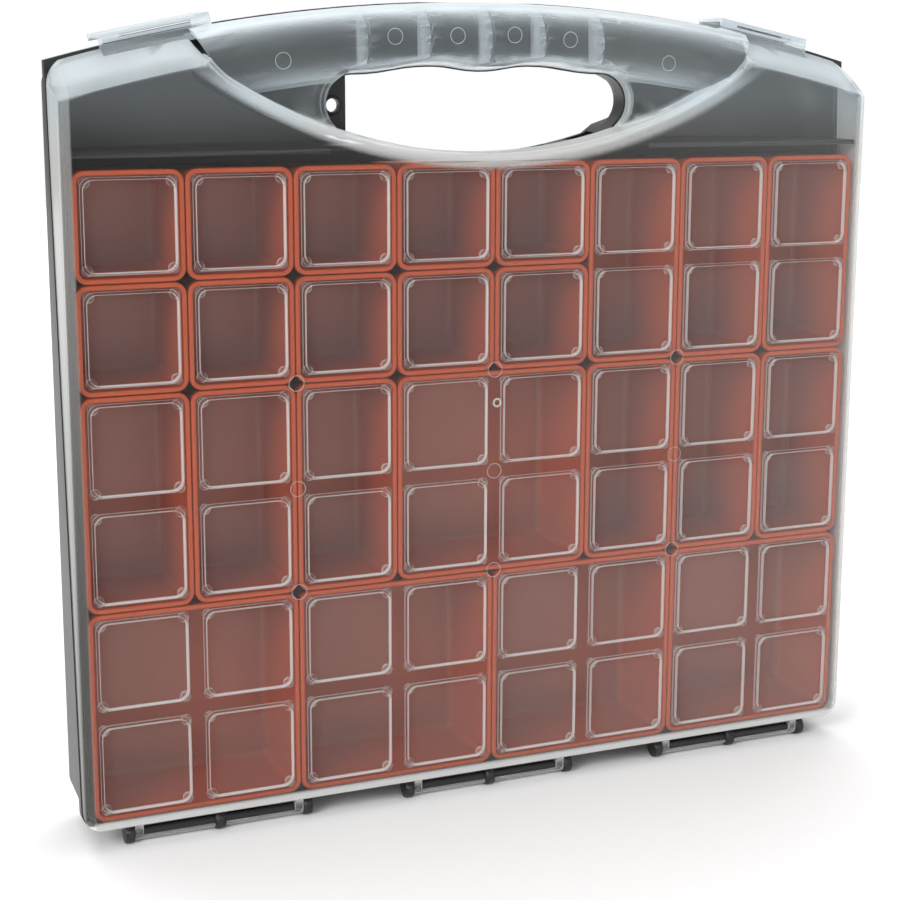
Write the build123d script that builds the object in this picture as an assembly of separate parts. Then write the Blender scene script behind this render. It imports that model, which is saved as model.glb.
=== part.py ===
from build123d import *
from math import asin, atan, cos, degrees, radians, sin, tan
import os

# Carry case for small parts: a black tray and a clear lid, hinged along the bottom edge. Each
# has one half of an arched handle. Removable bins fill the tray.
# Millimetres. The case stands on its hinge side: X runs along its width, Y from the lid at the
# front to the back, Z up from the floor. Depths are counted from the front of the lid, and
# heights in the two sketches of the handle from the middle of the grid of bins.

# Grid of cells that the bins and the windows of the lid share
pitch = 44.0
columns = 8
rows = 6
side_margin = 4.6
bottom_margin = 3.8

# Outline of the case where lid and tray meet
half_width = columns * pitch / 2 + side_margin
head_height = 64.2
top_radius = 688.0
bottom_corner = 7.5
tray_corner = 8.5
top_corner = 12.0
wall_draft = 1.5

# Depths; the joint between lid and tray leans back towards the handle
case_depth = 45.4
split_bottom = 5.7
split_top = 22.3
split_gap = 0.3
front_y = -case_depth / 2

# Walls
lid_wall = 1.8
tray_wall = 2.0
tray_inset = 2.6
flange_depth = 4.0
flange_step = 0.5

# Shoulder of the lid above the windows
shoulder_rise = 14.5

# Pocket around the handle, the handle itself and the opening for the hand
pocket_margin = 3.0
pocket_radius = 218.0
pocket_end_radius = 30.0
pocket_turn = 30.5
pocket_rise = 39.5
rim_radius = 5.4
edge_bevel = 0.8
hollow_bevel = 0.5
web_front = 14.0
web_back = 31.0
grip_height = 30.0
grip_middle = 21.6
grip_front = 4.0
grip_back = 41.0
grip_sweep = 13.0
grip_flats = 8
opening_draft = 8.0
opening_draft_back = 3.0
opening_end = 11.5
opening_end_x = 57.0
opening_end_rise = 20.3
opening_low_drop = 1.7
opening_slant = 5.7
opening_wave = ((57.0, 0.0), (22.5, 3.2), (0.0, 1.1))

# Webs and small gussets inside the lid's half of the handle
web_width = 1.4
web_positions = (-54.0, -27.0, 0.4, 24.6, 52.0)
gusset_size = 3.4
gusset_width = 1.2
gusset_positions = (-83.0, -18.0, 7.5, 66.0)

# Plate for hanging in the end of the opening
hang_edge_x = -56.9
hang_x = -62.7
hang_drop = 1.0
hang_radius = 2.8
hang_thickness = 2.6
hang_boss = 1.3
hang_boss_height = 0.6

# Windows of the lid, each a shallow pan that reaches into the mouth of a bin
window = 35.7
window_depth = 3.0
pan_wall = 0.9

# Bins
bin_gap = 0.4
bin_drop = 0.4
bin_front = 2.4
bin_wall = 1.4
bin_floor = 1.2
bin_corner = 2.4
bin_draft = 1.0
lip_height = 2.6
lip_width = 0.6

# Wall of the tray above the bins; its ends beside the opening stand as high as the bins
partition_margin = 5.0
partition_x = 72.0
partition_front = 3.0

# Hinge: a bar moulded between lugs of the tray, and hooks of the lid clipped on it
hinge_depth = 6.5
bar_radius = 2.0
bar_drop = 4.3
lug_radius = 4.2
lug_flats = 12
lug_width = 3.6
lug_spacing = 38.3
lug_foot = 9.0
group_spacing = 123.2
hook_play = 0.05
hook_wall = 1.3
hook_width = 3.4
hook_offset = 3.9
hook_mouth = 50.0
lip_gap = 0.6

# Feet of the tray at the back of the hinge side
foot_x = 116.0
foot_length = 44.0
foot_front = 35.0
foot_back = 43.0

# Latches on the arched top
latch_x = 137.5
latch_width = 45.0
latch_wall = 1.6
latch_top = 4.5
latch_back = 42.4
latch_root = 0.7
latch_root_depth = 19.8
latch_gap = 0.3
latch_corner = 3.0
latch_slot = 29.0
latch_slot_height = 0.9
latch_angle = degrees(asin(latch_x / top_radius))
pad_height = 0.3
pad_front = 16.5
barb_margin = 3.6
barb_length = 1.8
catch_reach = 4.2
catch_length = 3.4
catch_top = 1.6
catch_width = 36.0

# Positions that follow from these
hinge_z = lug_radius
case_bottom = hinge_z + bar_drop
case_height = bottom_margin + rows * pitch + head_height
case_top = case_bottom + case_height
grid_z = case_bottom + bottom_margin + rows * pitch / 2
grid_top = rows * pitch / 2
pocket_low_z = grid_top + pocket_margin
opening_end_z = pocket_low_z + opening_end_rise
opening_low_z = pocket_low_z - opening_low_drop
hang_z = opening_end_z - hang_drop
partition_z = grid_top + partition_margin
partition_reach = half_width - tray_inset - tray_wall / 2
arc_z = case_top - top_radius
hinge_y = front_y + hinge_depth
arch_axis = Axis((0, 0, arc_z), (0, 1, 0))
bin_back = case_depth - tray_wall
barb_depth = latch_back - barb_margin
catch_depth = barb_depth - catch_reach
shoulder_angle = degrees(atan(shoulder_rise / split_top))


def facing(depth):
    # Sketch plane across the case, seen from the front
    return Plane(origin=(0, front_y + depth, 0), x_dir=(1, 0, 0), z_dir=(0, -1, 0))


def slab(sketch, front, back, taper=0.0):
    # Solid between two depths; the sketch is its outline at the back
    plane = facing(back)
    solid = extrude(plane * sketch, amount=back - front)
    if not taper:
        return solid
    sides = solid.faces().filter_by(lambda face: abs(face.normal_at().Y) < 0.5)
    return draft(sides, plane, taper)


def across(profile, x, width):
    # Solid of a side profile in depth and height, centred on one place along the case
    plane = Plane(origin=(x - width / 2, front_y, 0), x_dir=(0, 1, 0), z_dir=(1, 0, 0))
    return extrude(plane * profile, amount=width)


def outline(inset, low_corner=bottom_corner):
    # Straight sides and foot, arched top
    width = 2 * (half_width - inset)
    height = case_height - inset
    box = Pos(0, case_bottom + inset + height / 2) * Rectangle(width, height)
    shape = box & (Pos(0, arc_z) * Circle(top_radius - inset))
    low = shape.vertices().sort_by(Axis.Y)[0:2]
    shape = fillet(low, low_corner - inset)
    high = shape.vertices().sort_by(Axis.Y)[-2:]
    return fillet(high, top_corner - inset)


def split_depth(height):
    return split_bottom + (split_top - split_bottom) * (height - case_bottom) / case_height


def beside_split(in_front, gap):
    # Space in front of the leaning joint, or behind it
    low = case_bottom - pitch
    high = case_top + pitch
    far = -pitch if in_front else case_depth + pitch
    shift = -gap if in_front else gap
    edge = [(split_depth(low) + shift, low), (split_depth(high) + shift, high)]
    profile = make_face(Polyline(*edge, (far, high), (far, low), close=True))
    return across(profile, 0, 3 * half_width)


def pocket_face(inset):
    # Area around the handle where both shells stand back from their faces: a wide arc below,
    # tighter arcs at its ends, then straight sides out of the top
    turn = radians(pocket_turn)
    steep = radians(pocket_turn + pocket_rise)
    middle_z = grid_z + pocket_low_z + pocket_radius
    wide = pocket_radius + inset
    tight = pocket_end_radius + inset
    end_x = (pocket_radius - pocket_end_radius) * sin(turn)
    end_z = middle_z - (pocket_radius - pocket_end_radius) * cos(turn)

    def on_end(side, angle):
        return (side * (end_x + tight * sin(angle)), end_z - tight * cos(angle))

    bend = (turn + steep) / 2
    low = ThreePointArc(on_end(-1, turn), (0, middle_z - wide), on_end(1, turn))
    lines = [low]
    tops = []
    for side in (-1, 1):
        lines.append(ThreePointArc(on_end(side, turn), on_end(side, bend), on_end(side, steep)))
        x, z = on_end(side, steep)
        rise = case_top + pitch - z
        tops.append((x + side * rise / tan(steep), case_top + pitch))
        lines.append(Line((x, z), tops[-1]))
    return make_face([*lines, Line(*tops)])


def opening_face(growth=0.0):
    # Opening for the hand, wavy along the top where the fingers lie; its lower edge lies
    # beyond the pocket, whose wall is the real edge there
    end = opening_end + growth
    centre_z = grid_z + opening_end_z
    wave = [(x, centre_z + end + z) for x, z in opening_wave]
    wave += [(-x, z) for x, z in reversed(wave[:-1])]
    lines = []
    for start, stop in zip(wave, wave[1:]):
        middle = ((start[0] + stop[0]) / 2, (start[1] + stop[1]) / 2)
        lines.append(TangentArc(start, middle, tangent=(-1, 0)))
        lines.append(TangentArc(stop, middle, tangent=(1, 0)))

    def on_end(side, angle):
        x = opening_end_x + end * cos(radians(angle))
        return (side * x, centre_z + end * sin(radians(angle)))

    lows = []
    for side in (-1, 1):
        lines.append(ThreePointArc(on_end(side, 90), on_end(side, 10), on_end(side, -45)))
        x, z = on_end(side, -45)
        lows.append((x - side * opening_slant, z - opening_slant))
        lines.append(Line((x, z), lows[-1]))
    lines.append(ThreePointArc(lows[0], (0, grid_z + opening_low_z - growth), lows[1]))
    return make_face(lines)


def opening(growth, front):
    # Space of the opening in one of the shells, wider towards its face
    if front:
        return slab(opening_face(growth), -1, split_top + 2, taper=-opening_draft)
    run = case_depth + 1 - split_top
    growth += run * tan(radians(opening_draft_back))
    return slab(opening_face(growth), 1, case_depth + 1, taper=opening_draft_back)


def grip(inset, crest):
    # One half of the handle: a bar that follows the arch of the case, its face rounded by a
    # row of narrow flats
    radius = grip_height / 2 - inset
    side = 1 if crest < grip_middle else -1
    centre = crest + side * grip_height / 2
    turns = [radians(180 * step / grip_flats) for step in range(grip_flats + 1)]
    edge = [(centre - side * radius * sin(turn), radius * cos(turn)) for turn in turns]
    flank = [(centre + side * radius, -radius), (centre + side * radius, radius)]
    plane = Plane(
        origin=(0, front_y, case_top - grip_height / 2), x_dir=(0, 1, 0), z_dir=(1, 0, 0)
    )
    section = plane * make_face(Polyline(*edge, *flank, close=True))
    return revolve(section.rotate(arch_axis, -grip_sweep), arch_axis, 2 * grip_sweep)


def edges_at(solid, depth):
    return solid.edges().filter_by_position(Axis.Y, *(front_y + depth + d for d in (-0.01, 0.01)))


def on_rim(edge):
    return abs(edge.center().X) < latch_x and edge.center().Z > grid_z


def with_handle(body, inset, front):
    # Sink the face around the handle as far as a web, round the edges, add the bar
    face = inset if front else case_depth - inset
    web = web_front + inset if front else web_back - inset
    area = pocket_face(inset)
    column = slab(area, -1, case_depth + 1)
    outside = body - column
    rim = edges_at(outside, face).filter_by(on_rim)
    if front and not inset:
        outside = fillet(rim, rim_radius)
    else:
        outside = chamfer(rim, hollow_bevel * (rim_radius - inset))
    if not inset:
        outside = chamfer(edges_at(outside, face).filter_by(on_rim, reverse=True), edge_bevel)
    hole = opening(inset, front)
    plate = body & (slab(area, web, case_depth) if front else slab(area, 0, web))
    bar = grip(inset, grip_front if front else grip_back) & column
    return outside + (plate - hole) + (bar - hole)


def lid_form(inset):
    # Outer form of the lid, or with an inset its hollow
    back = split_top + 2
    body = slab(outline(inset), inset, back, taper=wall_draft)
    widening = (back - split_top) * tan(radians(shoulder_angle))
    cone = Pos(0, arc_z) * Circle(top_radius - inset + widening)
    body &= slab(cone, inset, back, taper=shoulder_angle)
    return with_handle(body, inset, True)


def tray_form(inset):
    # Outer form of the tray, or with an inset its hollow
    back = case_depth - inset
    face = outline(tray_inset + inset, tray_corner)
    body = slab(face, split_bottom - 2, back, taper=-wall_draft)
    return with_handle(body, inset, False)


def in_windows(growth, front, back):
    # One block for each cell of the grid
    side = window + 2 * growth
    block = slab(Rectangle(side, side), front, back)
    cells = [spot.position for spot in GridLocations(pitch, pitch, columns, rows)]
    return [Pos(cell.X, 0, grid_z + cell.Y) * block for cell in cells]


def shoulder_height(depth):
    # Height of the lid's shoulder above the top of the case
    return -(split_top - depth) * tan(radians(shoulder_angle))


def with_flats(radius):
    # Circle of narrow flats
    turns = [radians(360 * step / lug_flats) for step in range(lug_flats)]
    corners = [(radius * cos(turn), radius * sin(turn)) for turn in turns]
    return make_face(Polyline(*corners, close=True))


def ring_profile(outer, inner):
    # Ring around the hinge bar, round inside and with narrow flats outside
    centre = Pos(hinge_depth, hinge_z)
    return centre * (with_flats(outer) - Circle(inner))


def hook():
    # Clip of the lid around the hinge bar, open towards the back
    inner = bar_radius + hook_play
    outer = inner + hook_wall
    low = case_bottom + 1
    arm = Polyline(
        (hinge_depth - outer, hinge_z),
        (hinge_depth - outer, low),
        (split_bottom - split_gap, low),
        (split_bottom - split_gap, hinge_z + inner),
        (hinge_depth, hinge_z),
        close=True,
    )
    mouth = Polyline(
        (hinge_depth, hinge_z),
        (hinge_depth + 2 * outer, hinge_z + 2 * outer * tan(radians(hook_mouth))),
        (hinge_depth + 2 * outer, hinge_z - outer / 3),
        close=True,
    )
    ring = ring_profile(outer, inner) - make_face(mouth)
    return ring + (make_face(arm) - Pos(hinge_depth, hinge_z) * Circle(inner))


def hook_lip():
    # Thin shell under the hinge bar that joins two hooks
    outer = bar_radius + hook_play + hook_wall
    shell = ring_profile(outer, bar_radius + lip_gap)
    reach = 3 * outer
    span = Polyline(
        (hinge_depth, hinge_z),
        (hinge_depth - reach, hinge_z - reach / 3),
        (hinge_depth - reach, hinge_z - reach),
        (hinge_depth + reach, hinge_z - reach),
        close=True,
    )
    return shell & make_face(span)


def lug():
    # Lug of the tray that carries the hinge bar, braced towards the back
    low = case_bottom + tray_inset + 1
    slope = lug_radius * sin(radians(45))
    brace = Polyline(
        (hinge_depth - split_gap, hinge_z),
        (hinge_depth - split_gap, low),
        (hinge_depth + lug_foot, low),
        (hinge_depth + slope, hinge_z - slope),
        close=True,
    )
    head = Pos(hinge_depth, hinge_z) * with_flats(lug_radius)
    return head + make_face(brace)


def at_latch(solid, side):
    # Move what is modelled at the top of the arch to the left or right latch
    return solid.rotate(arch_axis, side * latch_angle)


def make_lid():
    shell = lid_form(0) - lid_form(lid_wall)

    # Windows: the pans first, then their hollows
    shell += in_windows(pan_wall, lid_wall / 2, window_depth + pan_wall)
    shell -= in_windows(0, -1, window_depth)

    # Webs across the handle
    bar = grip(lid_wall / 2, grip_front) & slab(pocket_face(lid_wall / 2), -1, case_depth)
    bar -= opening(lid_wall / 2, True)
    plate = Pos(case_depth / 2, case_top - grip_height / 2)
    plate *= Rectangle(case_depth, 2 * grip_height)
    shell += [bar & across(plate, x, web_width) for x in web_positions]

    # Gussets under the top wall
    edge = split_top - split_gap
    low = case_top - lid_wall - gusset_size
    corner = case_top - lid_wall / 2
    gusset = Polyline((edge, low), (edge, corner), (edge - 2 * gusset_size, corner), close=True)
    gusset = across(make_face(gusset), 0, gusset_width)
    shell += [gusset.rotate(arch_axis, degrees(asin(x / top_radius))) for x in gusset_positions]

    # Pads under the latches
    pad = [
        (pad_front, shoulder_height(pad_front)),
        (latch_root_depth - latch_root, pad_height),
        (split_top, pad_height),
        (split_top, -lid_wall / 2),
        (pad_front, shoulder_height(pad_front) - lid_wall / 2),
    ]
    pad = Pos(0, case_top) * make_face(Polyline(*pad, close=True))
    pad = across(pad, 0, latch_width)
    shell += [at_latch(pad, side) for side in (-1, 1)]
    shell &= beside_split(True, split_gap / 2)

    # Hooks of the hinge, with the lip between the two of each group
    for group in (-1, 0, 1):
        middle = group * group_spacing
        ends = [middle + side * (lug_spacing - hook_offset) for side in (-1, 1)]
        shell += [across(hook(), x, hook_width) for x in ends]
        lip = across(hook_lip(), middle, ends[1] - ends[0])
        shell += lip - across(hook_lip(), middle, lug_width + 2 * lip_gap)
    return shell


def make_tray():
    form = tray_form(0)
    hollow = tray_form(tray_wall)
    shell = form - hollow

    # Flange along the joint, a little proud of the lid
    back = split_top + flange_depth + 1
    ring = slab(outline(-flange_step), 0, back, taper=wall_draft)
    ring -= slab(outline(tray_inset), -1, case_depth)
    shell += ring & beside_split(True, -flange_depth)

    # Wall above the bins, lower where the handle of the lid is in front of it
    wall = Pos(0, grid_z + partition_z) * Rectangle(2 * partition_reach, tray_wall)
    shell += slab(wall, 0, case_depth - tray_wall / 2) & form
    shell &= beside_split(False, split_gap / 2)
    side = partition_reach - partition_x
    wall = Pos(partition_x + side / 2, grid_z + partition_z) * Rectangle(side, tray_wall)
    wall = slab(wall, partition_front, split_top + 2)
    shell += [wall, mirror(wall, about=Plane.YZ)]
    shell -= opening(0, False)

    # Plate for hanging in the left end of the opening
    edge = hang_edge_x - opening_end_x - 2 * opening_end
    plate = Pos(hang_edge_x + edge / 2, grid_z + opening_end_z)
    plate = plate * Rectangle(-edge, 4 * opening_end) & opening_face(tray_wall / 2)
    hole = Pos(hang_x, grid_z + hang_z)
    shell += slab(plate, web_back - hang_thickness, web_back)
    boss = hole * Circle(hang_radius + hang_boss)
    shell += slab(boss, web_back - hang_thickness - hang_boss_height, web_back)
    shell -= slab(hole * Circle(hang_radius), 0, case_depth)

    # Hinge bars between their lugs
    for group in (-1, 0, 1):
        middle = group * group_spacing
        bar = Pos(hinge_depth, hinge_z) * Circle(bar_radius)
        shell += across(bar, middle, 2 * lug_spacing)
        lugs = [middle + step * lug_spacing for step in (-1, 0, 1)]
        shell += [across(lug(), x, lug_width) for x in lugs]

    # Feet, cored from below
    foot_middle = (foot_front + foot_back) / 2
    foot_size = foot_back - foot_front
    height = case_bottom + tray_inset + tray_wall / 2
    foot = Pos(foot_middle, height / 2) * Rectangle(foot_size, height)
    core = Pos(foot_middle, height / 2 - tray_wall / 2)
    core *= Rectangle(foot_size - 2 * tray_wall, height - tray_wall)
    foot = across(foot, foot_x, foot_length)
    foot -= across(core, foot_x, foot_length - 2 * tray_wall)
    shell += [foot, mirror(foot, about=Plane.YZ)]

    # Ridges that the latches snap behind
    low = -2 * tray_inset
    ridge = [
        (catch_depth - catch_length, low),
        (catch_depth - catch_length / 3, catch_top),
        (catch_depth + catch_length / 3, catch_top),
        (catch_depth + catch_length / 2, low),
    ]
    ridge = Pos(0, case_top) * make_face(Polyline(*ridge, close=True))
    ridge = across(ridge, 0, catch_width) - hollow
    ridge -= Pos(0, 0, low) * hollow
    shell += [at_latch(ridge, side) for side in (-1, 1)]
    return shell


def make_latch(side):
    # Flap over the joint with a barb under its end, hinged at its rounded front edge
    root_height = pad_height + latch_gap + latch_root
    under = latch_top - latch_wall
    flap = Polyline(
        (latch_root_depth - latch_root, root_height),
        (latch_root_depth, latch_top),
        (latch_back, latch_top),
        (latch_back, under),
        (barb_depth + barb_length / 2, under),
        (barb_depth + barb_length / 2, catch_top + latch_gap),
        (barb_depth - barb_length / 2, catch_top + latch_gap),
        (barb_depth - barb_length, under),
        (latch_root_depth + latch_wall, under),
        (latch_root_depth + latch_root, root_height),
        close=True,
    )
    root = Pos(latch_root_depth, root_height) * Circle(latch_root)
    profile = Pos(0, case_top) * (make_face(flap) + root)
    latch = across(profile, 0, latch_width)
    far = latch.edges().filter_by(Axis.Z).sort_by(Axis.Y)[-2:]
    latch = fillet(far, latch_corner)
    slot = Pos(latch_root_depth, case_top + root_height + latch_root + latch_slot_height / 2)
    latch -= across(slot * Rectangle(4 * latch_wall, latch_slot_height), 0, latch_slot)
    return at_latch(latch, side)


def make_bin(wide, high):
    # Tapered box with a rim, centred in front of the middle of the grid
    width, height = (n * pitch - bin_gap for n in (wide, high))

    def block(inset, front, back, taper):
        shrink = inset + (back - front) * tan(radians(taper))
        solid = Rectangle(width - 2 * shrink, height - 2 * shrink)
        solid = slab(solid, front, back, -taper)
        upright = solid.edges().filter_by(lambda edge: abs(edge.tangent_at(0).Y) > 0.5)
        return chamfer(upright, bin_corner - 0.6 * inset)

    body_front = bin_front + lip_height
    rim = block(0, bin_front, body_front, 0)
    body = block(lip_width, body_front, bin_back, bin_draft)
    hollow = block(lip_width + bin_wall, bin_front, bin_back - bin_floor, bin_draft)
    return rim + body - hollow


# Cells of the grid: first column, first row from the top, columns, rows
small_bins = [(column, row, 1, 1) for row in (0, 1) for column in range(5)]
tall_bins = [(column, row, 1, 2) for row in (0, 2) for column in (5, 6, 7)]
tall_bins += [(column, 2, 1, 2) for column in (0, 1, 2)]
large_bins = [(3, 2, 2, 2)] + [(column, 4, 2, 2) for column in (0, 2, 4, 6)]

os.makedirs("parts", exist_ok=True)
export_step(make_tray(), "parts/tray.step")
export_step(make_lid(), "parts/lid.step")
export_step(make_latch(-1), "parts/latch_left.step")
export_step(make_latch(1), "parts/latch_right.step")
for name, cells in (("small", small_bins), ("tall", tall_bins), ("large", large_bins)):
    shape = make_bin(*cells[0][2:])
    for number, (column, row, wide, high) in enumerate(cells, 1):
        x = (column + (wide - columns) / 2) * pitch
        z = grid_z - bin_drop + ((rows - high) / 2 - row) * pitch
        export_step(Pos(x, 0, z) * shape, f"parts/bin_{name}_{number:02}.step")
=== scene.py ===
from math import cos, pi, radians, sin, tan

import bpy
from mathutils import Matrix, Vector


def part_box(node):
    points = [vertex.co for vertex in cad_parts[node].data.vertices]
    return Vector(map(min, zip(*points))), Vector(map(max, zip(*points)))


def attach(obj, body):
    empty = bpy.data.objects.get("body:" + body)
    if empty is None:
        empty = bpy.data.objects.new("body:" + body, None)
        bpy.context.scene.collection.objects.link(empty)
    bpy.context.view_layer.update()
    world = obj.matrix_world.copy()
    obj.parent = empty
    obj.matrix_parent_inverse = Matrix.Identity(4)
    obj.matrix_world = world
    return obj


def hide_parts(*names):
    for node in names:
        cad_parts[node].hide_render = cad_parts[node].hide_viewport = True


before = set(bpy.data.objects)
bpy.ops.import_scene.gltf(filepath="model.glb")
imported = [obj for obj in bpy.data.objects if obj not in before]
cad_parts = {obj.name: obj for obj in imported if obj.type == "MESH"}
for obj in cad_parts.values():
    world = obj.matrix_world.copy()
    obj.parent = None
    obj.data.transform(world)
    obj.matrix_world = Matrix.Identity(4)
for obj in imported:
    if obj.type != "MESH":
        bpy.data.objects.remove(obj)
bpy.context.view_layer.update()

# Tray: one moulding in black polypropylene, with its flange, the lugs and bars of the hinge,
# the feet and the back half of the handle.
MM = 0.001
weld = 0.002 * MM
smooth_angle = radians(34)


class Value:
    """An output of a material's nodes. Sums and products of such values add Math nodes."""

    def __init__(self, tree, socket=None):
        self.tree = tree
        self.socket = socket

    def node(self, kind, inputs, out=0, **settings):
        """A node of a kind, with its settings, and values or links for its inputs."""
        made = self.tree.nodes.new("ShaderNode" + kind)
        for name, setting in settings.items():
            setattr(made, name, setting)
        for name, value in inputs.items():
            if isinstance(value, Value):
                self.tree.links.new(value.socket, made.inputs[name])
            else:
                made.inputs[name].default_value = value
        return Value(self.tree, made.outputs[out])

    def math(self, operation, *others, clamp=False):
        inputs = dict(enumerate((self, *others)))
        return self.node("Math", inputs, operation=operation, use_clamp=clamp)

    def __add__(self, other):
        return self.math("ADD", other)

    def __mul__(self, other):
        return self.math("MULTIPLY", other)

    def __sub__(self, other):
        return self.math("SUBTRACT", other)

    def __rsub__(self, other):
        return (self * -1).math("ADD", other)

    __radd__ = __add__
    __rmul__ = __mul__

    def rise(self, low, high):
        """0 below low, 1 above high, smooth between them."""
        inputs = {"Value": self, "From Min": low, "From Max": high}
        return self.node("MapRange", inputs, interpolation_type="SMOOTHSTEP")

    def mix(self, low, high):
        """A colour between two, by this value."""
        return self.node("Mix", {0: self, 6: low, 7: high}, out=2, data_type="RGBA")

    def feed(self, shader, name):
        """Link this value to an input of a shader or of an output node."""
        self.tree.links.new(self.socket, shader.inputs[name])


def plastic(slot, **constants):
    """A new material with its Principled shader, and a Value to start its nodes from."""
    material = bpy.data.materials.new(slot)
    material.use_nodes = True
    shader = material.node_tree.nodes["Principled BSDF"]
    for name, value in constants.items():
        shader.inputs[name.replace("_", " ")].default_value = value
    return material, shader, Value(material.node_tree)


def place(start):
    """The place on the piece, and its three parts, in metres."""
    spot = start.node("TexCoord", {}, out="Object")
    parts = [spot.node("SeparateXYZ", {"Vector": spot}, out=axis) for axis in "XYZ"]
    return spot, *parts


def noise(spot, size, detail=2.0):
    """Soft clouds of about one size."""
    return spot.node("TexNoise", {"Vector": spot, "Scale": 1 / size, "Detail": detail})


def moulding(node):
    """A copy of a moulding's mesh, joined along its facets."""
    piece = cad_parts[node].copy()
    piece.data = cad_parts[node].data.copy()
    piece.name = node + "_moulding"
    piece.data.name = piece.name
    bpy.context.scene.collection.objects.link(piece)
    bpy.ops.object.select_all(action="DESELECT")
    bpy.context.view_layer.objects.active = piece
    piece.select_set(True)
    bpy.ops.object.mode_set(mode="EDIT")
    bpy.ops.mesh.select_all(action="SELECT")
    bpy.ops.mesh.remove_doubles(threshold=weld)
    bpy.ops.object.mode_set(mode="OBJECT")
    return piece


def choose(piece, kind, test):
    """Start to edit the edges or faces of a piece that pass a test on their place."""
    if bpy.context.mode != "OBJECT":
        bpy.ops.object.mode_set(mode="OBJECT")
    bpy.context.tool_settings.mesh_select_mode = (False, kind == "EDGE", kind == "FACE")
    mesh = piece.data
    for group in (mesh.vertices, mesh.edges, mesh.polygons):
        group.foreach_set("select", [False] * len(group))
    if kind == "FACE":
        for face in mesh.polygons:
            face.select = test(face.center, face.normal)
    else:
        for edge in mesh.edges:
            edge.select = test(*(mesh.vertices[end].co for end in edge.vertices))
    bpy.ops.object.mode_set(mode="EDIT")


def keep_flat(piece):
    """Smooth shading over the radii, with the large faces between them left flat."""
    bpy.ops.object.shade_smooth_by_angle(angle=smooth_angle)
    weighted = piece.modifiers.new("flat faces", "WEIGHTED_NORMAL")
    weighted.keep_sharp = True
    bpy.ops.object.modifier_apply(modifier=weighted.name)


def finish_piece(piece, body, slot, material, *nodes):
    """Give a piece its material and its body, and hide the solids that it stands for."""
    piece.data.materials.clear()
    piece.data.materials.append(material)
    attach(piece, body)
    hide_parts(*nodes)


deep_black = (0.012, 0.013, 0.013, 1)
soft_black = (0.019, 0.020, 0.019, 1)
black, shader, start = plastic("black_plastic", Specular_IOR_Level=0.5)
spot, x, y, z = place(start)
clouds = noise(spot, 60 * MM)
clouds.mix(deep_black, soft_black).feed(shader, "Base Color")
(clouds * 0.10 + 0.36).feed(shader, "Roughness")

tray = moulding("tray")
keep_flat(tray)
finish_piece(tray, "case", "black_plastic", black, "tray")

# Bins: loose boxes in orange polypropylene, in three sizes, with a thick rim around the mouth,
# well rounded corners and a soft radius between walls and floor.
bin_front = 2.4 * MM
bin_back = 43.4 * MM
lip_height = 2.6 * MM
lip_width = 0.6 * MM
bin_wall = 1.4 * MM
bin_floor = 1.2 * MM
bin_draft = radians(1)
bin_corner = 5.0 * MM
floor_radius = 6.0 * MM
rim_rounding = 0.55 * MM
near = 0.01 * MM
deep_orange = (0.46, 0.066, 0.012, 1)
bright_orange = (0.52, 0.082, 0.016, 1)
# Painted shade: the darker orange of the floors deep inside the bins
shaded_floor = (0.30, 0.050, 0.013, 1)

orange, shader, start = plastic("orange_plastic", Specular_IOR_Level=0.5)
spot, x, y, z = place(start)
clouds = noise(spot, 25 * MM)
fine = noise(spot, 0.5 * MM, 1.0)
normal = start.node("TexCoord", {}, out="Normal")
ahead = normal.node("SeparateXYZ", {"Vector": normal}, out="Y").math("ABSOLUTE")
# Painted shade: floors deep inside the bins are mixed towards a darker orange, for the shade that
# falls there.
floor_shade = ahead.rise(0.3, 0.9) * y.rise(0, 16 * MM)
walls = clouds.mix(deep_orange, bright_orange)
(floor_shade * 0.85).mix(walls, shaded_floor).feed(shader, "Base Color")
(clouds * 0.12 + 0.36).feed(shader, "Roughness")
bump = {"Height": fine, "Strength": 0.12, "Distance": 0.02 * MM}
fine.node("Bump", bump).feed(shader, "Normal")


def bin_shape(name, low, high):
    """A bin in the place and size of its solid, from the box of its rim to its hollow."""
    middle = [(a + b) / 2 for a, b in zip(low, high)]
    width = high[0] - low[0]
    height = high[2] - low[2]
    rim_y = low[1] + lip_height / 2
    bpy.ops.object.select_all(action="DESELECT")
    bpy.ops.mesh.primitive_cube_add(size=1, location=(middle[0], rim_y, middle[2]))
    piece = bpy.context.object
    piece.name = name
    piece.scale = (width, lip_height, height)
    bpy.ops.object.transform_apply(location=True, rotation=True, scale=True)
    choose(piece, "EDGE", lambda a, b: abs(a.y - b.y) > lip_height / 2)
    bpy.ops.mesh.bevel(offset=bin_corner, segments=6, affect="EDGES")

    def deepen(side, inset, depth):
        """Inset the face at the back or front, and push it in as a wall with draft."""
        choose(piece, "FACE", lambda centre, normal: side * normal.y > 0.9)
        bpy.ops.mesh.inset(thickness=inset)
        bpy.ops.mesh.extrude_region_move(TRANSFORM_OT_translate={"value": (0, depth, 0)})
        shrink = 2 * depth * tan(bin_draft)
        ratio = [1 - shrink / (size - 2 * inset) for size in (width, height)]
        centre = (middle[0], 0, middle[2])
        bpy.ops.transform.resize(value=(ratio[0], 1, ratio[1]), center_override=centre)

    body_depth = bin_back - bin_front - lip_height
    deepen(1, lip_width, body_depth)
    hollow_depth = bin_back - bin_front - bin_floor
    deepen(-1, lip_width + bin_wall, hollow_depth)
    floor_y = low[1] + hollow_depth
    choose(piece, "EDGE", lambda a, b: max(abs(a.y - floor_y), abs(b.y - floor_y)) < near)
    bpy.ops.mesh.bevel(offset=floor_radius, segments=5, affect="EDGES", clamp_overlap=True)
    choose(piece, "EDGE", lambda a, b: max(a.y, b.y) < low[1] + near)
    bpy.ops.mesh.bevel(offset=rim_rounding, segments=3, affect="EDGES")
    bpy.ops.object.mode_set(mode="OBJECT")
    keep_flat(piece)
    return piece


for node in sorted(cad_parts):
    if node.startswith("bin_"):
        piece = bin_shape(node + "_moulding", *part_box(node))
        finish_piece(piece, "case", "orange_plastic", orange, node)

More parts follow.
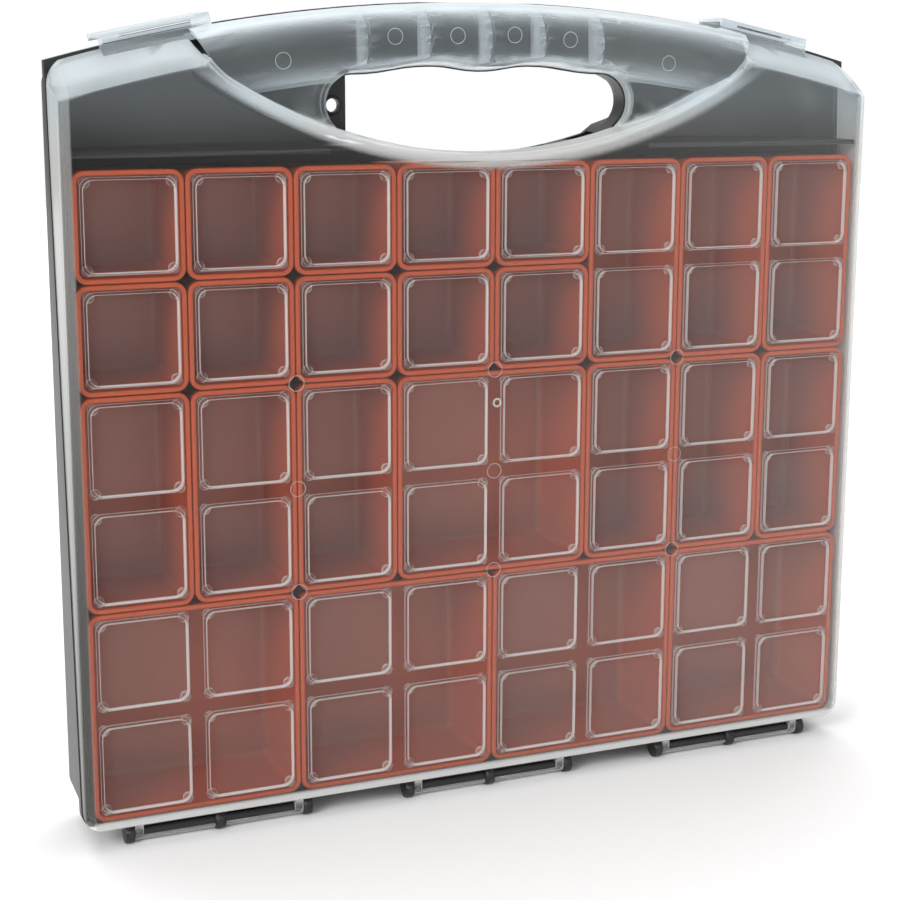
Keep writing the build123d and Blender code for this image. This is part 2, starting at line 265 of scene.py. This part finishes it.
# Lid: one moulding in natural polypropylene, which is milky where it is thick or seen from the
# side. 48 shallow pans with frosted floors reach into the mouths of the bins.
front_y = -22.7 * MM
grid_z = 144.3 * MM
pitch = 44 * MM
columns = 8
rows = 6
lid_wall = 1.8 * MM
window = 35.7 * MM
window_depth = 3.0 * MM
pan_wall = 0.9 * MM
window_radius = 4.0 * MM
edge_radius = 0.45 * MM
rim_clear = 3.0 * MM
face_back = front_y + lid_wall
pan_front = front_y + window_depth
pan_back = pan_front + pan_wall
grid_top = grid_z + rows * pitch / 2
case_side = columns * pitch / 2 + 4.6 * MM
case_foot = 8.5 * MM
pocket_centre = grid_z + 353 * MM
pocket_radius = 218.0 * MM
pocket_top = 318 * MM
thickest_veil = 0.92
warm_milk = (0.83, 0.82, 0.80, 1)
blue_milk = (0.76, 0.86, 0.91, 1)
# Painted shade: the grey of the lid's left wall
shade_grey = (0.10, 0.10, 0.09, 1)


def clear_plastic(name, veil, wall_veil, edge_veil, frost, rim_veil):
    """Natural polypropylene: a thin veil over what lies behind, thicker in walls and at edges."""
    material, shader, start = plastic(name, Specular_IOR_Level=0.5, IOR=1.49)
    spot, x, y, z = place(start)
    facing = start.node("LayerWeight", {"Blend": 0.5}, out="Facing")
    normal = start.node("TexCoord", {}, out="Normal")
    ahead = normal.node("SeparateXYZ", {"Vector": normal}, out="Y").math("ABSOLUTE")
    # Faces that turn to the left, for the painted shade on them below
    left_facing_shade = (normal.node("SeparateXYZ", {"Vector": normal}, out="X") * -1).rise(0.2, 0.9)
    clouds = noise(spot, 40 * MM, 0.0)
    above = z.rise(grid_top, grid_top + 30 * MM)

    # Floors of the pans
    before_pan = y.rise(pan_front - 0.5 * MM, pan_front - 0.1 * MM)
    behind_pan = y.rise(pan_back + 0.1 * MM, pan_back + 0.4 * MM)
    in_pan = before_pan * (1 - behind_pan) * (1 - above)

    # Side walls and foot, which are seen along their length
    right_wall = x.rise(case_side - 3.8 * MM, case_side - 2.4 * MM)
    left_edge = (x * -1).rise(case_side - 5.2 * MM, case_side - 4.0 * MM)
    below = 1 - z.rise(case_foot + 3.1 * MM, case_foot + 4.3 * MM)
    bottom = z.rise(case_foot - 0.6 * MM, case_foot) * below
    outside = right_wall * (0.9 + above) + bottom * 1.7 + left_edge * 0.8

    # Rounded rim of the pocket below the handle, palest on the left
    lift = z - pocket_centre
    around = (x * x + lift * lift).math("SQRT")
    inner = around.rise(pocket_radius - 2.0 * MM, pocket_radius + 1.5 * MM)
    outer = around.rise(pocket_radius + 3.5 * MM, pocket_radius + 7.5 * MM)
    rim = inner * (1 - outer) * (1 - z.rise(pocket_top - 18 * MM, pocket_top))
    rim = rim * (1.15 - x.rise(-100 * MM, 140 * MM) * 0.45)

    # Painted shade: walls that face left get a thinner veil, so they look darker.
    wall = (1 - ahead).math("POWER", 1.4) * wall_veil * (1 - left_facing_shade * 0.45)
    edge = facing.math("POWER", 1.6) * edge_veil
    alpha = in_pan * frost + wall + edge + veil + above * 0.04 + (outside + rim) * rim_veil
    alpha.math("MINIMUM", thickest_veil, clamp=True).feed(shader, "Alpha")

    # Bluer above the bins. Painted shade on the left wall: its colour is darkened to grey, most
    # lower down, where the black tray stands behind it.
    tint = (above * 0.8 + clouds * 0.2).math("MINIMUM", 1.0)
    pale = tint.mix(warm_milk, blue_milk)
    left_wall_shade = left_edge * (1 - bottom) * (0.90 - z.rise(60 * MM, 330 * MM) * 0.45)
    left_wall_shade.mix(pale, shade_grey).feed(shader, "Base Color")
    (in_pan * 0.22 + clouds * 0.08 + 0.16).feed(shader, "Roughness")
    return material


def cell_side(rings, corner):
    """One side of a cell: a pan with round corners, from its floor to the edge of the cell."""
    bpy.ops.object.select_all(action="DESELECT")
    half, depth = rings[0]
    bpy.ops.mesh.primitive_plane_add(size=2 * half, location=(0, depth, 0), rotation=(pi / 2, 0, 0))
    piece = bpy.context.object
    bpy.ops.object.transform_apply(location=True, rotation=True, scale=True)
    bpy.ops.object.mode_set(mode="EDIT")
    bpy.ops.mesh.select_mode(type="VERT")
    bpy.ops.mesh.select_all(action="SELECT")
    bpy.ops.mesh.bevel(offset=corner, segments=6, affect="VERTICES")
    bpy.ops.mesh.select_mode(type="EDGE")
    bpy.ops.mesh.select_all(action="SELECT")
    around_pan = (rings[-1][0] * 1.05, rings[-1][1])
    for wide, deep in [*rings[1:], around_pan]:
        bpy.ops.mesh.extrude_edges_move(TRANSFORM_OT_translate={"value": (0, deep - depth, 0)})
        ratio = wide / half
        bpy.ops.transform.resize(value=(ratio, 1, ratio), center_override=(0, 0, 0))
        half, depth = wide, deep
    bpy.ops.object.mode_set(mode="OBJECT")
    for point in piece.data.vertices:
        if point.select:
            reach = pitch / 2 / max(abs(point.co.x), abs(point.co.z))
            point.co.x *= reach
            point.co.z *= reach
    return piece


def pan_rings(half, floor, face):
    """Half widths and depths of a pan's outline from its floor up to the face of the lid."""
    r = edge_radius
    side = 1 if floor > face else -1
    low = [(half - r + r * sin(a), floor - side * (r - r * cos(a))) for a in (0, pi / 4, pi / 2)]
    high = [(half + r - r * cos(a), face + side * (r - r * sin(a))) for a in (0, pi / 4, pi / 2)]
    return low + high


front_sheet = cell_side(pan_rings(window / 2, pan_front, front_y), window_radius)
back_sheet = cell_side(pan_rings(window / 2 + pan_wall, pan_back, face_back), window_radius)
for sheet in (front_sheet, back_sheet):
    sheet.select_set(True)
bpy.ops.object.join()
cells = bpy.context.object
for axis, count in ((0, columns), (2, rows)):
    array = cells.modifiers.new("cells", "ARRAY")
    array.count = count
    array.use_relative_offset = False
    array.use_constant_offset = True
    array.constant_offset_displace = [pitch if step == axis else 0 for step in range(3)]
    array.use_merge_vertices = True
    array.merge_threshold = near
    bpy.ops.object.modifier_apply(modifier=array.name)
cells.location = ((1 - columns) * pitch / 2, 0, grid_z + (1 - rows) * pitch / 2)
bpy.ops.object.transform_apply(location=True, rotation=True, scale=True)

lid = moulding("lid")


def is_window_part(centre, normal):
    """Faces of the lid's flat front, inside and out, and of its pans."""
    across = abs(centre.x) < columns * pitch / 2
    up = abs(centre.z - grid_z) < rows * pitch / 2 - rim_clear
    if across and up and centre.y < pan_back + 0.1 * MM:
        return True
    on_front = centre.y < front_y + near and normal.y < -0.99
    return on_front or (abs(centre.y - face_back) < near and normal.y > 0.99)


choose(lid, "FACE", is_window_part)
bpy.ops.mesh.delete(type="FACE")
bpy.ops.object.mode_set(mode="OBJECT")
cells.select_set(True)
bpy.ops.object.join()


def close_face(depth):
    """Fill the flat face between the pans and the radii around it, at one depth."""
    bpy.ops.object.mode_set(mode="EDIT")
    bpy.ops.mesh.select_mode(type="EDGE")
    bpy.ops.mesh.select_all(action="DESELECT")
    bpy.ops.mesh.select_non_manifold(use_wire=False, use_multi_face=False,
                                     use_non_contiguous=False, use_verts=False)
    bpy.ops.object.mode_set(mode="OBJECT")
    chosen = []
    for edge in lid.data.edges:
        depths = [lid.data.vertices[end].co.y for end in edge.vertices]
        if edge.select and all(abs(y - depth) < near for y in depths):
            chosen.append(edge.index)
    choose(lid, "EDGE", lambda a, b: False)
    bpy.ops.object.mode_set(mode="OBJECT")
    for index in chosen:
        edge = lid.data.edges[index]
        edge.select = True
        for end in edge.vertices:
            lid.data.vertices[end].select = True
    bpy.ops.object.mode_set(mode="EDIT")
    bpy.ops.mesh.fill(use_beauty=True)


close_face(front_y)
close_face(face_back)
bpy.ops.mesh.select_all(action="SELECT")
bpy.ops.mesh.normals_make_consistent(inside=False)
bpy.ops.object.mode_set(mode="OBJECT")
keep_flat(lid)

# The flat faces of the lid stay flat right up to the radii around them
levels = ((front_y, -1), (face_back, 1), (pan_front, -1), (pan_back, 1))
normals = [corner.vector.copy() for corner in lid.data.corner_normals]
for face in lid.data.polygons:
    for corner in face.loop_indices:
        height = lid.data.vertices[lid.data.loops[corner].vertex_index].co.y
        for level, side in levels:
            if abs(height - level) < near and face.normal.y * side > cos(smooth_angle):
                normals[corner] = Vector((0, side, 0))
lid.data.normals_split_custom_set(normals)


def mark(name, places, material, add, **sizes):
    """Marks that the mould leaves on the lid: the same small form at each of some places."""
    forms = []
    for spot in places:
        bpy.ops.object.select_all(action="DESELECT")
        add(location=spot, rotation=(pi / 2, 0, 0), **sizes)
        forms.append(bpy.context.object)
    for form in forms:
        form.select_set(True)
    bpy.ops.object.join()
    piece = bpy.context.object
    piece.name = name
    bpy.ops.object.transform_apply(location=True, rotation=True, scale=True)
    bpy.ops.object.shade_smooth_by_angle(angle=smooth_angle)
    piece.data.materials.append(material)
    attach(piece, "lid")


clear = clear_plastic("clear_plastic", 0.012, wall_veil=0.50, edge_veil=0.66, frost=0.020,
                      rim_veil=0.36)
milky = clear_plastic("milky_plastic", 0.42, wall_veil=0.30, edge_veil=0.30, frost=0, rim_veil=0)
veiled = clear_plastic("veiled_plastic", 0.03, wall_veil=0.30, edge_veil=0.30, frost=0, rim_veil=0)
finish_piece(lid, "lid", "clear_plastic", clear, "lid")

# Marks of the mould on the lid, in the same plastic: rings left by ejector pins where four cells
# meet and along the handle, the stub of the gate, and small round posts at the corners of each
# pan. The pins on the handle are placed in steps of the grid, from the middle of the grid.
ring_radius = 3.2 * MM
ring_thick = 0.13 * MM
stub_radius = 1.6 * MM
stub_thick = 0.45 * MM
stub_place = (0.5 * MM, front_y + 0.5 * MM, grid_z + 30 * MM)
post_radius = 2.1 * MM
post_height = 2.2 * MM
post_depth = front_y + 2.7 * MM
post_inset = 0.9 * MM
handle_pins = ((-2.05, 3.92), (-0.98, 4.14), (-0.36, 4.15), (0.22, 4.16), (0.80, 4.12), (1.88, 3.90))

pins = []
for up in (1, 0, -1):
    for across in (-2, 0, 2):
        pins.append((across * pitch, face_back + 0.05 * MM, grid_z + up * pitch))
for across, up in handle_pins:
    spot = Vector((across * pitch, front_y - 5 * MM, grid_z + up * pitch))
    wall = lid.ray_cast(spot, (0, 1, 0))[1]
    pins.append((spot.x, wall.y + lid_wall, spot.z))
torus = bpy.ops.mesh.primitive_torus_add
mark("ejector_rings", pins, milky, torus, major_radius=ring_radius, minor_radius=ring_thick,
     major_segments=32, minor_segments=6)
mark("gate_stub", [stub_place], milky, torus, major_radius=stub_radius, minor_radius=stub_thick,
     major_segments=32, minor_segments=6)

corner = window / 2 - post_inset
posts = []
for column in range(columns):
    for row in range(rows):
        middle_x = (column + 0.5 - columns / 2) * pitch
        middle_z = grid_z + (row + 0.5 - rows / 2) * pitch
        for a, b in ((-1, -1), (-1, 1), (1, -1), (1, 1)):
            posts.append((middle_x + a * corner, post_depth, middle_z + b * corner))
cylinder = bpy.ops.mesh.primitive_cylinder_add
mark("corner_posts", posts, veiled, cylinder, radius=post_radius, depth=post_height, vertices=20)

# Latches: flaps on either side of the handle, moulded in one with the lid in natural
# polypropylene. Each bends at a thin strip and snaps behind a ridge of the tray.
for side in ("left", "right"):
    latch = moulding("latch_" + side)
    keep_flat(latch)
    finish_piece(latch, "latch_" + side, "clear_plastic", milky, "latch_" + side)

# Studio: a pale floor that turns white further out, a white surround and three soft lamps.
floor_width = 6
floor_white = (0.94, 0.94, 0.94, 1)
bpy.ops.object.select_all(action="DESELECT")
bpy.ops.mesh.primitive_plane_add(size=floor_width, location=(0, 0, 0))
floor = bpy.context.object
floor.name = "floor"
pale, shader, start = plastic("floor_paint", Base_Color=floor_white, Roughness=0.9,
                              Specular_IOR_Level=0.1)
spot, x, y, z = place(start)
far = (x * x + y * y).math("SQRT").rise(0.30, 0.70)
path = start.node("LightPath", {}, out="Is Camera Ray")
gloss = start.node("LightPath", {}, out="Is Glossy Ray")
through = start.node("LightPath", {}, out="Is Transmission Ray")
seen = path.math("MAXIMUM", gloss).math("MAXIMUM", through)
paint = Value(pale.node_tree, shader.outputs[0])
glow = start.node("Emission", {"Strength": 1.3})
shown = start.node("MixShader", {0: seen * far, 1: paint, 2: glow})
shown.feed(pale.node_tree.nodes["Material Output"], "Surface")
floor.data.materials.append(pale)

surround = 0.46
world = bpy.data.worlds.new("studio")
bpy.context.scene.world = world
world.use_nodes = True
start = Value(world.node_tree)
seen = start.node("LightPath", {}, out="Is Camera Ray")
backdrop = world.node_tree.nodes["Background"]
backdrop.inputs["Color"].default_value = (1, 1, 1, 1)
(seen * (1 - surround) + surround).feed(backdrop, "Strength")


def lamp(name, spot, aim, size, power):
    """A soft box that points at a place on the case."""
    data = bpy.data.lights.new(name, "AREA")
    data.shape = "RECTANGLE"
    data.size, data.size_y = size
    data.energy = power
    made = bpy.data.objects.new(name, data)
    bpy.context.scene.collection.objects.link(made)
    made.location = spot
    made.rotation_euler = (Vector(aim) - Vector(spot)).to_track_quat("-Z", "Y").to_euler()


lamp("key", spot=(-1.9, -1.3, 1.3), aim=(0, 0, 0.15), size=(1.1, 1.1), power=39)
lamp("fill", spot=(1.6, -1.2, 0.9), aim=(0, 0, 0.15), size=(0.8, 1.4), power=5)
lamp("top", spot=(0.1, 0.6, 1.8), aim=(0, 0, 0.1), size=(2.2, 1.6), power=32)

# Camera: at the place from which the photograph was taken, worked out from the grid of windows.
camera_place = (-0.3087, -0.7155, 0.3226)
right = Vector((0.921, -0.391, 0.005)).normalized()
forward = Vector((0.384, 0.902, -0.198))
forward = (forward - right * forward.dot(right)).normalized()
up = right.cross(forward)
camera_data = bpy.data.cameras.new("camera")
camera = bpy.data.objects.new("camera", camera_data)
bpy.context.scene.collection.objects.link(camera)
turn = Matrix((right, up, -forward)).transposed()
camera.matrix_world = Matrix.Translation(camera_place) @ turn.to_4x4()
camera_data.sensor_width = 36
camera_data.lens = 72.79
camera_data.shift_x = -0.0186
camera_data.shift_y = -0.0400
bpy.context.scene.camera = camera
bpy.context.scene.view_settings.view_transform = "Standard"
